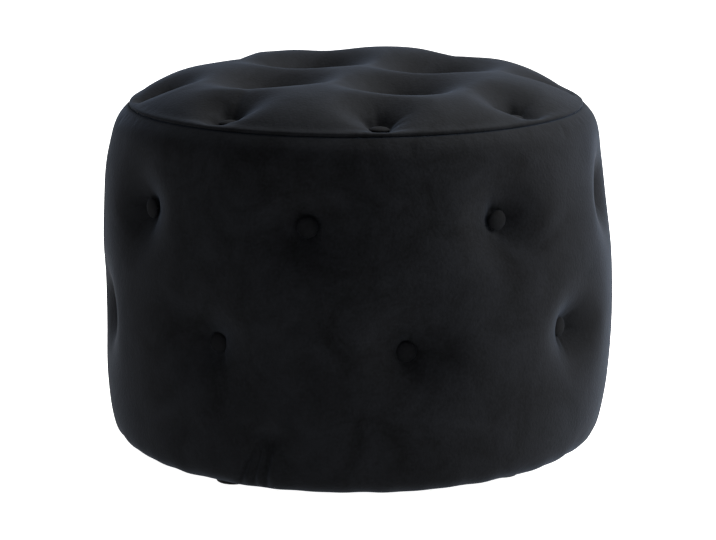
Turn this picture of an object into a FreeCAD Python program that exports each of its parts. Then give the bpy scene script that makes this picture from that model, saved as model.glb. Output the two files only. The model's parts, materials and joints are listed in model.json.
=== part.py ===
import FreeCAD, Part
import math
import os

# Round button-tufted pouf, in millimetres.
# +Z is up. The origin is on the floor, under the middle of the pouf, and -Y faces the viewer.
# A turn is an angle in degrees round the middle, from -Y towards +X.
# Each draw-in is how far a ring of the cover lies inside the widest ring, the belly.

# Finished shape of the cover
belly_radius = 290.5
side_height = 383.5
crown_rise = 44.5
hem_draw_in = 40.0
curl_draw_in = 10.5
shoulder_draw_in = 14.5
seam_draw_in = 32.5
panel_draw_in = 110.5
panel_drop = 7.5
curl_rise = 22.5
shoulder_drop = 34.0
belly_rise_share = 0.455

# Where each rounding passes between its two ends: shares of the way out and of the way up
curl_bend_shares = (0.71, 0.31)
shoulder_bend_shares = (0.72, 0.56)
panel_bend_shares = (0.60, 0.65)

# The way each ring of the outline faces: 0 is outwards, 90 is up
under_facing = -90.0
curl_bend_facing = -45.0
curl_facing = -8.0
belly_facing = 0.0
shoulder_facing = 10.0
shoulder_bend_facing = 25.0
seam_facing = 45.0
panel_bend_facing = 62.0

# Cloths
cloth = 1.2
dust_cloth = 0.6
hem_width = 24.5

# Frame
board_thickness = 15.0
side_pad = 50.0
wall_thickness = 3.0
seat_pad_drop = 49.0
wall_joint_gap = 1.0
wall_joint_turn = 180.0
strip_width = 50.0
strip_thickness = 3.0
post_width = 40.0
post_ring_radius = 210.0
post_count = 4

# Feet
foot_height = 15.0
foot_top_radius = 22.0
foot_base_radius = 19.0
foot_edge = 2.0
foot_ring_radius = 210.0
foot_turn = -40.0
foot_count = 4
foot_recess_radius = 6.0
foot_recess_depth = 6.0

# Buttons and the hollows that they pull into the padding
button_radius = 11.25
button_height = 5.0
button_rim_height = 2.4
button_rim_draw_in = 0.35
button_waist_height = 1.4
button_under_radius = 9.6
button_dome_shares = (0.67, 0.66)
back_radius = 8.5
back_thickness = 1.5
back_clearance = 0.1
seat_margin = 0.75
tufts_per_ring = 8
top_ring_radius = 217.0
top_ring_turn = -38.5
top_ring_drop = 45.5
top_ring_reach = 50.0
top_ring_depth = 23.0
top_ring_lip = 27.0
inner_ring_count = 4
inner_ring_radius = 104.0
inner_ring_turn = 29.0
inner_ring_drop = 55.5
inner_ring_reach = 62.0
inner_ring_depth = 42.0
inner_ring_lip = 25.0
side_seat_depth = 25.5
side_reach = 50.0
side_depth = 20.5
side_lip = 12.0
lower_row_rise = 155.4
lower_row_turn = -33.5
row_spacing = 133.0

# Twine, its eyes and its washers
twine_radius = 0.6
twine_loop_radius = 1.6
twine_hole_radius = 3.6
eye_radius = 2.2
eye_wire_radius = 0.5
eye_leg = 1.0
eye_clearance = 0.1
washer_radius = 8.0
washer_thickness = 1.5
washer_hole_radius = 2.5
washer_clearance = 0.2
knot_radius = 3.2
knot_cut_angle = 50.0

# Screws, brads and staples
post_screw_radius = 2.2
post_screw_length = 45.0
post_screw_head_radius = 4.4
post_screw_head_height = 2.6
foot_screw_radius = 2.0
foot_screw_length = 20.0
foot_screw_head_radius = 4.2
foot_screw_head_height = 2.4
foot_screw_clearance = 0.3
brad_radius = 0.8
brad_length = 16.0
brad_head_radius = 2.0
brad_head_height = 0.8
brads_per_board = 16
brad_turn = 5.0
staple_width = 10.0
staple_wire = 0.6
staple_leg = 8.0
staple_inset = 5.0
staples_per_ring = 24

# How far a cutting shape runs past what it cuts
overrun = 2.0

# Heights and radii that follow from these sizes
under_height = foot_height + dust_cloth
board_under = under_height + cloth
board_top = board_under + board_thickness
seam_height = under_height + side_height
crown_height = seam_height + crown_rise
seat_top = seam_height - seat_pad_drop
seat_under = seat_top - board_thickness
hem_fold_radius = belly_radius - hem_draw_in
hem_edge_radius = hem_fold_radius - hem_width
seam_radius = belly_radius - seam_draw_in
wall_radius = belly_radius - side_pad
board_radius = wall_radius - wall_thickness
staple_ring_radius = hem_edge_radius + staple_inset
dust_cover_radius = staple_ring_radius + staple_inset
side_seat_radius = belly_radius - side_seat_depth
tuft_pitch = 360.0 / tufts_per_ring
upper_row_turn = lower_row_turn + tuft_pitch / 2
post_turn = lower_row_turn + tuft_pitch / 4
lower_row_height = under_height + lower_row_rise
upper_row_height = lower_row_height + row_spacing
top_ring_seat = crown_height - top_ring_drop
inner_ring_seat = crown_height - inner_ring_drop
seat_radius = button_radius + seat_margin

up = FreeCAD.Vector(0, 0, 1)
down = FreeCAD.Vector(0, 0, -1)
middle = FreeCAD.Vector(0, 0, 0)


# Small helpers


def outward(turn):
    """The level direction that points away from the middle at this turn."""
    angle = math.radians(turn)
    return FreeCAD.Vector(math.sin(angle), -math.cos(angle), 0)


def spot(turn, radius, height):
    """The point at this turn, distance from the middle and height."""
    place = outward(turn) * radius
    place.z = height
    return place


def turns_of(count, first):
    """Evenly spaced turns all the way round, from the first one."""
    return [first + 360.0 * step / count for step in range(count)]


def placed(shape, place, direction):
    """A copy of a shape with its own +Z laid along the direction, at the place."""
    copy = shape.copy()
    copy.Placement = FreeCAD.Placement(place, FreeCAD.Rotation(up, direction))
    return copy


def flat_point(across, height):
    return FreeCAD.Vector(across, 0, height)


def straight(start, end):
    return Part.makeLine(start, end)


def bend(start, through, end):
    """A circular arc, held as a curve so that it turns cleanly about the middle."""
    return Part.Arc(start, through, end).toBSpline().toShape()


def turned(edges):
    """The solid that a closed half outline makes when it is turned about +Z."""
    return Part.Face(Part.Wire(edges)).revolve(middle, up, 360)


def polygon_turned(points):
    closed = points + [points[0]]
    edges = [straight(start, end) for start, end in zip(closed, closed[1:])]
    return turned(edges)


def disc(radius, low, high):
    return Part.makeCylinder(radius, high - low, flat_point(0, low))


def ring(inner, outer, low, high):
    return disc(outer, low, high).cut(disc(inner, low - overrun, high + overrun))


def sector(inner, outer, low, high, turn, width):
    """A stretch of a ring: as wide as this, measured along its outer face."""
    span = math.degrees(width / outer)
    start = outward(turn - span / 2)
    height = high - low
    place = flat_point(0, low)
    slab = Part.makeCylinder(outer, height, place, up, span)
    core = Part.makeCylinder(inner, height, place, up, span)
    piece = slab.cut(core)
    piece.rotate(middle, up, math.degrees(math.atan2(start.y, start.x)))
    return piece


def single(shape):
    """The one solid that a cut leaves."""
    return shape.Solids[0] if len(shape.Solids) == 1 else shape


def drilled(shape, tools):
    return single(shape.cut(tools))


# The cover's outline and the hollows in it. The inset is how far inside the cover's face they lie.


def outline_point(radius, height, facing, inset):
    angle = math.radians(facing)
    return flat_point(radius - inset * math.cos(angle), height - inset * math.sin(angle))


def between(low_place, high_place, shares):
    """A bend's radius and height, from its lower and its upper end, for a bend that draws in."""
    low_radius, low_height = low_place
    high_radius, high_height = high_place
    out_share, up_share = shares
    inner = min(low_radius, high_radius)
    radius = inner + out_share * abs(high_radius - low_radius)
    return radius, low_height + up_share * (high_height - low_height)


def crown_points(inset):
    """Top, middle and end of the gently domed middle of the top."""
    half_width = belly_radius - panel_draw_in
    dome = (half_width ** 2 + panel_drop ** 2) / (2 * panel_drop)
    centre = crown_height - dome
    reach = dome - inset
    angle = math.asin(half_width / dome)
    angles = (0.0, angle / 2, angle)
    return [flat_point(reach * math.sin(a), centre + reach * math.cos(a)) for a in angles]


def plain_form(inset):
    """The padded drum before its buttons are pulled in."""
    hem = (hem_fold_radius, under_height)
    curl = (belly_radius - curl_draw_in, under_height + curl_rise)
    belly = (belly_radius, under_height + belly_rise_share * side_height)
    shoulder = (belly_radius - shoulder_draw_in, seam_height - shoulder_drop)
    seam = (seam_radius, seam_height)
    panel = (belly_radius - panel_draw_in, crown_height - panel_drop)
    top, crown_middle, panel_end = crown_points(inset)
    panel_bend = outline_point(*between(seam, panel, panel_bend_shares), panel_bend_facing, inset)
    seam_end = outline_point(*seam, seam_facing, inset)
    shoulder_bend = between(shoulder, seam, shoulder_bend_shares)
    shoulder_middle = outline_point(*shoulder_bend, shoulder_bend_facing, inset)
    shoulder_end = outline_point(*shoulder, shoulder_facing, inset)
    belly_middle = outline_point(*belly, belly_facing, inset)
    curl_end = outline_point(*curl, curl_facing, inset)
    curl_middle = outline_point(*between(hem, curl, curl_bend_shares), curl_bend_facing, inset)
    hem_end = outline_point(*hem, under_facing, inset)
    bottom = flat_point(0, under_height + inset)
    return turned([
        bend(top, crown_middle, panel_end),
        bend(panel_end, panel_bend, seam_end),
        bend(seam_end, shoulder_middle, shoulder_end),
        bend(shoulder_end, belly_middle, curl_end),
        bend(curl_end, curl_middle, hem_end),
        straight(hem_end, bottom),
        straight(bottom, top),
    ])


def tuft_hollow(reach, depth, lip, whole_depth, inset):
    """What one button pulls away: a flat seat, a rounded lip and a gentle slope out of the form.

    The seat is at height 0. The lip's arc ends at this reach and depth, with this slope in
    degrees, and the slope goes on until it has left a form as deep as the whole depth.
    """
    slope = math.radians(lip)
    inwards = (math.sin(slope), -math.cos(slope))
    across = seat_radius - reach
    offset = across * inwards[0] - depth * inwards[1]
    lip_radius = (across ** 2 + depth ** 2) / (2 * offset)
    centre_across = reach + lip_radius * inwards[0]
    centre_height = depth + lip_radius * inwards[1]
    radius = lip_radius - inset
    floor = -inset
    start_angle = math.pi - math.asin((floor - centre_height) / radius)
    end_angle = math.pi / 2 + slope
    angles = (start_angle, (start_angle + end_angle) / 2, end_angle)
    start, through, end = [
        flat_point(centre_across + radius * math.cos(a), centre_height + radius * math.sin(a))
        for a in angles
    ]
    climb = whole_depth + overrun - end.z
    flare_end = flat_point(end.x + climb / math.tan(slope), end.z + climb)
    return turned([
        straight(flat_point(0, floor), start),
        bend(start, through, end),
        straight(end, flare_end),
        straight(flare_end, flat_point(0, flare_end.z)),
        straight(flat_point(0, flare_end.z), flat_point(0, floor)),
    ])


# Places of the buttons: the middle of each seat and the way the button faces


def side_seats(first_turn, height):
    turns = turns_of(tufts_per_ring, first_turn)
    return [(spot(turn, side_seat_radius, height), outward(turn)) for turn in turns]


def top_seats():
    turns = turns_of(tufts_per_ring, top_ring_turn)
    around = [(spot(turn, top_ring_radius, top_ring_seat), up) for turn in turns]
    inner_turns = turns_of(inner_ring_count, inner_ring_turn)
    inside = [(spot(turn, inner_ring_radius, inner_ring_seat), up) for turn in inner_turns]
    return around, inside


ring_seats, inner_seats = top_seats()
lower_seats = side_seats(lower_row_turn, lower_row_height)
upper_seats = side_seats(upper_row_turn, upper_row_height)
seats = {
    "button_top": ring_seats + inner_seats,
    "button_upper": upper_seats,
    "button_lower": lower_seats,
}


def tufted_form(inset):
    """The drum with all its hollows, this far inside the cover's outer face."""
    ring_tool = tuft_hollow(top_ring_reach, top_ring_depth, top_ring_lip, top_ring_drop, inset)
    inner_sizes = (inner_ring_reach, inner_ring_depth, inner_ring_lip, inner_ring_drop)
    inner_tool = tuft_hollow(*inner_sizes, inset)
    side_tool = tuft_hollow(side_reach, side_depth, side_lip, side_seat_depth, inset)
    tools = [placed(ring_tool, place, way) for place, way in ring_seats]
    tools += [placed(inner_tool, place, way) for place, way in inner_seats]
    tools += [placed(side_tool, place, way) for place, way in lower_seats + upper_seats]
    return single(plain_form(inset).cut(tools))


def twine_holes(places, depth):
    """Straight holes that go in from each seat for this depth."""
    length = depth + 2 * overrun
    hole = Part.makeCylinder(twine_hole_radius, length, flat_point(0, overrun - length))
    return [placed(hole, place, way) for place, way in places]


# Fasteners, each made once about its own +Z


def countersunk_screw(radius, length, head_radius, head_height):
    """The head is flush with height 0 and the shank points up."""
    return polygon_turned([
        flat_point(0, 0),
        flat_point(head_radius, 0),
        flat_point(radius, head_height),
        flat_point(radius, length - radius),
        flat_point(0, length),
    ])


def pan_screw(radius, length, head_radius, head_height):
    """The head sits below height 0 and the shank points up."""
    return polygon_turned([
        flat_point(0, -head_height),
        flat_point(head_radius, -head_height),
        flat_point(head_radius, 0),
        flat_point(radius, 0),
        flat_point(radius, length - radius),
        flat_point(0, length),
    ])


def staple():
    """The crown's lower face is at height 0 and both legs point up. The crown lies along Y."""
    half_wire = staple_wire / 2
    crown_corner = FreeCAD.Vector(-half_wire, -staple_width / 2, 0)
    shape = Part.makeBox(staple_wire, staple_width, staple_wire, crown_corner)
    for side in (-staple_width / 2, staple_width / 2 - staple_wire):
        leg_corner = FreeCAD.Vector(-half_wire, side, 0)
        shape = shape.fuse(Part.makeBox(staple_wire, staple_wire, staple_leg, leg_corner))
    return shape.removeSplitter()


def staple_ring(height, first_turn):
    """Staples round the hem, their crowns along it."""
    made = staple()
    copies = []
    for turn in turns_of(staples_per_ring, first_turn):
        way = outward(turn)
        copy = made.copy()
        copy.rotate(middle, up, math.degrees(math.atan2(way.y, way.x)))
        copy.translate(spot(turn, staple_ring_radius, height))
        copies.append(copy)
    return copies


def foot_places():
    return [spot(turn, foot_ring_radius, 0) for turn in turns_of(foot_count, foot_turn)]


def make_foot_screws():
    screw = pan_screw(
        foot_screw_radius, foot_screw_length, foot_screw_head_radius, foot_screw_head_height
    )
    raised = flat_point(0, foot_recess_depth)
    return [placed(screw, place + raised, up) for place in foot_places()]


def make_post_screws():
    screw = countersunk_screw(
        post_screw_radius, post_screw_length, post_screw_head_radius, post_screw_head_height
    )
    screws = []
    for turn in turns_of(post_count, post_turn):
        screws.append(placed(screw, spot(turn, post_ring_radius, board_under), up))
        screws.append(placed(screw, spot(turn, post_ring_radius, seat_top), down))
    return screws


def make_brads():
    """Brads through the wall into both boards' edges, heads flush with the wall."""
    brad = countersunk_screw(brad_radius, brad_length, brad_head_radius, brad_head_height)
    brads = []
    for height in (board_under + board_thickness / 2, seat_under + board_thickness / 2):
        for turn in turns_of(brads_per_board, brad_turn):
            brads.append(placed(brad, spot(turn, wall_radius, height), outward(turn) * -1))
    return brads


foot_screws = make_foot_screws()
post_screws = make_post_screws()
brads = make_brads()
hem_staples = staple_ring(under_height, 0.0)
dust_cover_staples = staple_ring(foot_height, 180.0 / staples_per_ring)


# Frame


def make_base_board():
    board = disc(board_radius, board_under, board_top)
    fasteners = foot_screws + post_screws + brads + hem_staples + dust_cover_staples
    return drilled(board, fasteners)


def make_seat_board():
    board = disc(board_radius, seat_under, seat_top)
    holes = twine_holes(seats["button_top"], crown_height - seat_under)
    return drilled(board, post_screws + brads + holes)


def make_post(turn):
    corner = FreeCAD.Vector(post_ring_radius - post_width / 2, -post_width / 2, board_top)
    post = Part.makeBox(post_width, post_width, seat_under - board_top, corner)
    way = outward(turn)
    post.rotate(middle, up, math.degrees(math.atan2(way.y, way.x)))
    return drilled(post, post_screws)


def make_side_wall():
    wall = ring(board_radius, wall_radius, board_under, seat_top)
    joint = sector(
        board_radius - overrun,
        wall_radius + overrun,
        board_under - overrun,
        seat_top + overrun,
        wall_joint_turn,
        wall_joint_gap,
    )
    depth = side_seat_radius - board_radius
    holes = twine_holes(lower_seats + upper_seats, depth)
    return drilled(wall, [joint] + holes + brads)


def make_wall_joint_strip():
    inner = board_radius - strip_thickness
    return sector(inner, board_radius, board_top, seat_under, wall_joint_turn, strip_width)


# Padding and covers


def side_zone(top):
    """The space of the side: below this height, and round the dished middle of the top."""
    whole = disc(belly_radius + overrun, under_height - overrun, top)
    inner = (hem_edge_radius + wall_radius) / 2
    return whole.cut(disc(inner, board_top, top + overrun))


def make_covers(outer, inner):
    shell = outer.cut(inner)
    zone = side_zone(seam_height)
    opening = disc(hem_edge_radius, under_height - overrun, board_under + overrun)
    side_holes = twine_holes(lower_seats + upper_seats, cloth)
    side = shell.common(zone).cut([opening] + side_holes + hem_staples + dust_cover_staples)
    lid = disc(hem_fold_radius, under_height - overrun, board_top)
    top = shell.cut([zone, lid] + twine_holes(seats["button_top"], cloth))
    return single(top), single(side)


def make_foams(inner):
    below = disc(belly_radius + overrun, under_height - overrun, seat_top)
    top = inner.cut([below] + twine_holes(seats["button_top"], crown_height - seat_top))
    core = disc(wall_radius, under_height - overrun, seat_top + overrun)
    side_holes = twine_holes(lower_seats + upper_seats, side_seat_radius - board_radius)
    side = inner.common(below).cut([core] + side_holes)
    return single(top), single(side)


def make_dust_cover():
    sheet = disc(dust_cover_radius, foot_height, under_height)
    hole_radius = foot_screw_radius + foot_screw_clearance
    low = foot_height - overrun
    length = dust_cloth + 2 * overrun
    rise = flat_point(0, low)
    holes = [Part.makeCylinder(hole_radius, length, place + rise) for place in foot_places()]
    return drilled(sheet, holes + dust_cover_staples)


# Feet


def make_foot(place):
    """A low tapered glide with a rounded lower edge and a recess for its screw's head."""
    taper = math.atan((foot_top_radius - foot_base_radius) / foot_height)
    hole_radius = foot_screw_radius + foot_screw_clearance
    edge_middle = foot_edge * (1 - math.cos(math.pi / 4))
    edge_top = flat_point(foot_base_radius + foot_edge * math.sin(taper), foot_edge)
    foot = turned([
        straight(flat_point(hole_radius, foot_height), flat_point(foot_top_radius, foot_height)),
        straight(flat_point(foot_top_radius, foot_height), edge_top),
        bend(
            edge_top,
            flat_point(foot_base_radius - edge_middle, edge_middle),
            flat_point(foot_base_radius - foot_edge, 0),
        ),
        straight(flat_point(foot_base_radius - foot_edge, 0), flat_point(foot_recess_radius, 0)),
        straight(
            flat_point(foot_recess_radius, 0), flat_point(foot_recess_radius, foot_recess_depth)
        ),
        straight(
            flat_point(foot_recess_radius, foot_recess_depth),
            flat_point(hole_radius, foot_recess_depth),
        ),
        straight(flat_point(hole_radius, foot_recess_depth), flat_point(hole_radius, foot_height)),
    ])
    return placed(foot, place, up)


# Buttons, their backs, twine and washers. Each seat is at height 0 of its own button.


def make_button():
    """The cloth-covered cap: domed, with a rolled edge and a recess for the back."""
    rim = flat_point(button_radius - button_rim_draw_in, button_rim_height)
    across_share, rise_share = button_dome_shares
    dome_height = button_rim_height + rise_share * (button_height - button_rim_height)
    recess_radius = back_radius + back_clearance
    recess_height = back_thickness + back_clearance
    return turned([
        bend(
            flat_point(0, button_height),
            flat_point(across_share * button_radius, dome_height),
            rim,
        ),
        bend(
            rim,
            flat_point(button_radius, button_waist_height),
            flat_point(button_under_radius, 0),
        ),
        straight(flat_point(button_under_radius, 0), flat_point(recess_radius, 0)),
        straight(flat_point(recess_radius, 0), flat_point(recess_radius, recess_height)),
        straight(flat_point(recess_radius, recess_height), flat_point(0, recess_height)),
        straight(flat_point(0, recess_height), flat_point(0, button_height)),
    ])


def half_hoop(radius, wire_radius, height, start, axis):
    """Half a ring of wire: from the start direction, turned half way round the axis."""
    centre = flat_point(0, height)
    section = Part.makeCircle(wire_radius, centre + start * radius, up)
    return Part.Face(Part.Wire(section)).revolve(centre, axis, 180)


def make_button_back():
    """A plate that fits inside the cap, with a wire eye under it."""
    across = FreeCAD.Vector(1, 0, 0)
    shape = disc(back_radius, 0, back_thickness)
    for side in (across, across * -1):
        leg_top = side * eye_radius + flat_point(0, back_thickness / 2)
        leg = Part.makeCylinder(eye_wire_radius, back_thickness / 2 + eye_leg, leg_top, down)
        shape = shape.fuse(leg)
    eye = half_hoop(eye_radius, eye_wire_radius, -eye_leg, across, FreeCAD.Vector(0, 1, 0))
    return single(shape.fuse(eye).removeSplitter())


def make_twine(depth):
    """Doubled twine: over the eye's wire, straight in for this depth, and knotted there."""
    along = FreeCAD.Vector(0, 1, 0)
    eye_bottom = -eye_leg - eye_radius
    loop_top = eye_bottom + eye_wire_radius + twine_radius + eye_clearance
    loop_height = loop_top - twine_loop_radius
    loop_axis = FreeCAD.Vector(1, 0, 0)
    shape = half_hoop(twine_loop_radius, twine_radius, loop_height, along, loop_axis)
    knot_top = math.sin(math.radians(knot_cut_angle)) * knot_radius
    knot_centre = -depth - knot_top
    knot = Part.makeSphere(
        knot_radius, flat_point(0, knot_centre), up, -90.0, knot_cut_angle, 360.0
    )
    for side in (along, along * -1):
        start = side * twine_loop_radius + flat_point(0, loop_height)
        shape = shape.fuse(Part.makeCylinder(twine_radius, start.z - knot_centre, start, down))
    return single(shape.fuse(knot).removeSplitter())


def make_washer(depth):
    """The washer that the knot bears on. Its face is this deep under the seat."""
    return ring(washer_hole_radius, washer_radius, -depth, washer_thickness - depth)


def placed_group(make, groups):
    """One copy at each seat of each group, with the depth that the group's twine has."""
    copies = []
    for places, depth in groups:
        shape = make(depth)
        copies += [placed(shape, place, way) for place, way in places]
    return Part.makeCompound(copies)


ring_depth = top_ring_seat - seat_under + washer_thickness
inner_depth = inner_ring_seat - seat_under + washer_thickness
side_depth_in = side_seat_radius - board_radius + washer_clearance + washer_thickness
top_groups = [(ring_seats, ring_depth), (inner_seats, inner_depth)]
upper_groups = [(upper_seats, side_depth_in)]
lower_groups = [(lower_seats, side_depth_in)]


# The whole pouf, piece by piece


def make_parts():
    outer = tufted_form(0.0)
    inner = tufted_form(cloth)
    top_cover, side_cover = make_covers(outer, inner)
    top_foam, side_foam = make_foams(inner)
    parts = {
        "base_board": make_base_board(),
        "seat_board": make_seat_board(),
        "side_wall": make_side_wall(),
        "wall_joint_strip": make_wall_joint_strip(),
        "wall_brads": Part.makeCompound(brads),
        "post_screws": Part.makeCompound(post_screws),
        "top_foam": top_foam,
        "side_foam": side_foam,
        "top_cover": top_cover,
        "side_cover": side_cover,
        "hem_staples": Part.makeCompound(hem_staples),
        "dust_cover": make_dust_cover(),
        "dust_cover_staples": Part.makeCompound(dust_cover_staples),
        "foot_screws": Part.makeCompound(foot_screws),
        "top_twines": placed_group(make_twine, top_groups),
        "upper_twines": placed_group(make_twine, upper_groups),
        "lower_twines": placed_group(make_twine, lower_groups),
        "twine_washers": placed_group(make_washer, top_groups + upper_groups + lower_groups),
    }
    for number, turn in enumerate(turns_of(post_count, post_turn), start=1):
        parts[f"post_{number}"] = make_post(turn)
    for number, place in enumerate(foot_places(), start=1):
        parts[f"foot_{number}"] = make_foot(place)
    button = make_button()
    back = make_button_back()
    backs = []
    for name, places in seats.items():
        for number, (place, way) in enumerate(places, start=1):
            parts[f"{name}_{number}"] = placed(button, place, way)
            backs.append(placed(back, place, way))
    parts["button_backs"] = Part.makeCompound(backs)
    return parts


os.makedirs("parts", exist_ok=True)
for node, shape in make_parts().items():
    shape.exportStep(f"parts/{node}.step")
    print(node, len(shape.Solids), shape.isValid(), round(shape.Volume / 1000, 2), "cm3")
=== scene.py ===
# %% [markdown]
# # A button-tufted velvet pouf
# This file dresses a finished construction model. Wooden boards, twine, screws and feet come
# from that model, and each soft or visible piece is made here in full detail: the two velvet
# covers, the buttons, the foam inside and the cloth underneath. Lengths are in metres, +Z is
# up, and the viewer looks from -Y.

# %% Load the construction model
import json
import math

import bpy
import numpy as np
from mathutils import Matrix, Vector


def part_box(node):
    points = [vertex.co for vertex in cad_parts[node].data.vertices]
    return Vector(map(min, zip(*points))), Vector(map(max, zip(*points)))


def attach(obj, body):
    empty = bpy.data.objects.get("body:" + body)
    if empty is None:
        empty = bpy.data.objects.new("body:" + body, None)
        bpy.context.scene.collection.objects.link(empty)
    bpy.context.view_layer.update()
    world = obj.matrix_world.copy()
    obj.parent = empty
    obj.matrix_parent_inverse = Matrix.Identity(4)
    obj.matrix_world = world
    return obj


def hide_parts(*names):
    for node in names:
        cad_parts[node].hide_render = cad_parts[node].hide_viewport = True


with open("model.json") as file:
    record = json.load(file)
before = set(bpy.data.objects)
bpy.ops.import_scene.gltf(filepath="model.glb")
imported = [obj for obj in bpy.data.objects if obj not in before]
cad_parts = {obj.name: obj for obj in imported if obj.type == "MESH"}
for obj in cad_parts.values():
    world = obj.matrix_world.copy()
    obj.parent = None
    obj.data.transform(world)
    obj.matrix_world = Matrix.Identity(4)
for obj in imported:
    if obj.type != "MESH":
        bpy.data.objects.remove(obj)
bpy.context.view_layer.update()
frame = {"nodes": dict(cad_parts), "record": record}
BODY = "root"
print("pieces in the construction model:", len(frame["nodes"]))

# %% [markdown]
# ## Read the sizes
# The pouf is a drum that bulges at its waist. Everything made here has to fit the hidden
# frame, so the sizes are read from the model's own pieces: the belly and the seam from the
# boxes of the two covers, and the size of a button from a button's box.

# %% Sizes that the model gives


def middle_of(node):
    low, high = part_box(node)
    return (Vector(low) + Vector(high)) / 2


def extent_of(node):
    low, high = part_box(node)
    return Vector(high) - Vector(low)


BELLY = extent_of("side_cover").x / 2
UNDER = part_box("side_cover")[0][2]
SEAM_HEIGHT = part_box("side_cover")[1][2]
SEAM_RADIUS = extent_of("top_cover").x / 2
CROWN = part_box("top_cover")[1][2]
BUTTON_RADIUS = extent_of("button_top_1").x / 2
BUTTON_HEIGHT = extent_of("button_top_1").z
print("belly %.3f, seam %.3f at %.3f, crown %.3f" % (BELLY, SEAM_RADIUS, SEAM_HEIGHT, CROWN))

# %% [markdown]
# ## List the tufts
# A tuft is a button pulled into the padding by a twine. A tuft needs three facts: the middle
# of its seat, the way its button faces, and its name. Top buttons face up and side buttons
# face straight out. The seat is where the button's underside lies along that way.

# %% Find every button's seat


def tuft_of(node):
    """The seat's middle and the facing of the button in this node."""
    middle = middle_of(node)
    if node.startswith("button_top"):
        facing = Vector((0, 0, 1))
    else:
        facing = Vector((middle.x, middle.y, 0)).normalized()
    lowest = min(point.co.dot(facing) for point in frame["nodes"][node].data.vertices)
    seat = middle + facing * (lowest - middle.dot(facing))
    return seat, facing


NODES = sorted(frame["nodes"])
TOP_BUTTONS = [name for name in NODES if name.startswith("button_top")]
SIDE_BUTTONS = [name for name in NODES if name.startswith(("button_upper", "button_lower"))]
TUFTS = {name: tuft_of(name) for name in TOP_BUTTONS + SIDE_BUTTONS}
SIDE_SEAT = math.hypot(*TUFTS[SIDE_BUTTONS[0]][0][:2])
print("tufts in the top:", len(TOP_BUTTONS), "and in the side:", len(SIDE_BUTTONS))

# %% [markdown]
# ## Put up the photographer's studio
# The photograph is lit by a very large soft light from the right, another from above and a
# little behind, a very weak one from the left, and a white room. A black object shows only
# what it reflects, so the lights matter as much as the colour. The floor is plain and nearly
# white. It glows, as a lit sweep of white plastic does, which is why the photograph has
# almost no shadow.

# %% Floor
FLOOR_REACH, FLOOR_GREY, FLOOR_GLOW = 12.0, 0.70, 1.0
WHITE = (1, 1, 1, 1)


def new_object(name, data):
    """A new object in the scene that shows this data."""
    item = bpy.data.objects.new(name, data)
    bpy.context.scene.collection.objects.link(item)
    return item


floor_mesh = bpy.data.meshes.new("floor")
corners = ((-1, -1), (1, -1), (1, 1), (-1, 1))
places = [(x * FLOOR_REACH, y * FLOOR_REACH, 0) for x, y in corners]
floor_mesh.from_pydata(places, [], [(0, 1, 2, 3)])
floor = new_object("floor", floor_mesh)
floor_paint = bpy.data.materials.new("pale floor")
floor_paint.use_nodes = True
floor_surface = floor_paint.node_tree.nodes["Principled BSDF"]
floor_surface.inputs["Base Color"].default_value = (FLOOR_GREY, FLOOR_GREY, FLOOR_GREY, 1)
floor_surface.inputs["Roughness"].default_value = 0.8
floor_surface.inputs["Emission Color"].default_value = WHITE
floor_surface.inputs["Emission Strength"].default_value = FLOOR_GLOW
floor.data.materials.append(floor_paint)
print("the floor reaches %.0f m each way" % FLOOR_REACH)

# %% [markdown]
# The room is a plain white surround, and three rectangular lamps stand in it. Each lamp is
# turned towards the pouf by the direction from the lamp to its aim.

# %% Room and lights
ROOM_STRENGTH = 0.62
room = bpy.data.worlds.new("white room")
bpy.context.scene.world = room
room.use_nodes = True
room.node_tree.nodes["Background"].inputs["Color"].default_value = WHITE
room.node_tree.nodes["Background"].inputs["Strength"].default_value = ROOM_STRENGTH
bpy.context.scene.view_settings.view_transform = "Standard"


def soft_light(name, place, aim, width, height, watts):
    """A large rectangular lamp at a place, turned towards the aim."""
    lamp = bpy.data.lights.new(name, "AREA")
    lamp.shape = "RECTANGLE"
    lamp.size = width
    lamp.size_y = height
    lamp.energy = watts
    light = new_object(name, lamp)
    light.location = place
    light.rotation_euler = (Vector(aim) - Vector(place)).to_track_quat("-Z", "Y").to_euler()


soft_light("key from the right", (2.7, 0, 1.4), (0, 0, 0.25), width=1.4, height=2.2, watts=188)
soft_light("fill from the left", (-2.6, 0.8, 0.4), (0, 0, 0.2), width=0.8, height=1.4, watts=2)
soft_light("overhead", (0.9, 0.9, 2.4), (0, 0, 0.4), width=1.4, height=1.4, watts=125)

# %% [markdown]
# ## Set the camera
# The photograph was taken from about ten belly radii away, a little above the top, with a
# long lens. The distance was found from how much the seam's ellipse is flatter than the
# lower edge's: a near camera makes them differ more.

# %% Camera
CAMERA_PLACE, CAMERA_PITCH = (0.0021, -2.905, 0.8232), 12.05
SENSOR_WIDTH, FOCAL_LENGTH = 36.0, 129.96
lens = bpy.data.cameras.new("camera")
lens.sensor_width = SENSOR_WIDTH
lens.lens = FOCAL_LENGTH
camera = new_object("camera", lens)
camera.location = CAMERA_PLACE
camera.rotation_euler = (math.radians(90 - CAMERA_PITCH), 0, 0)
bpy.context.scene.camera = camera
print("camera looks down by %.2f degrees" % CAMERA_PITCH)

# %% [markdown]
# ## Shape the drum before tufting
# The cover's half outline is a smooth curve through a few rings. It could be drawn with a
# Bezier curve and turned, but every later step needs to move single points, so the outline
# is sampled in code and becomes rows of a grid.

# %% Smooth outline
STEPS_BETWEEN = 40


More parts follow.
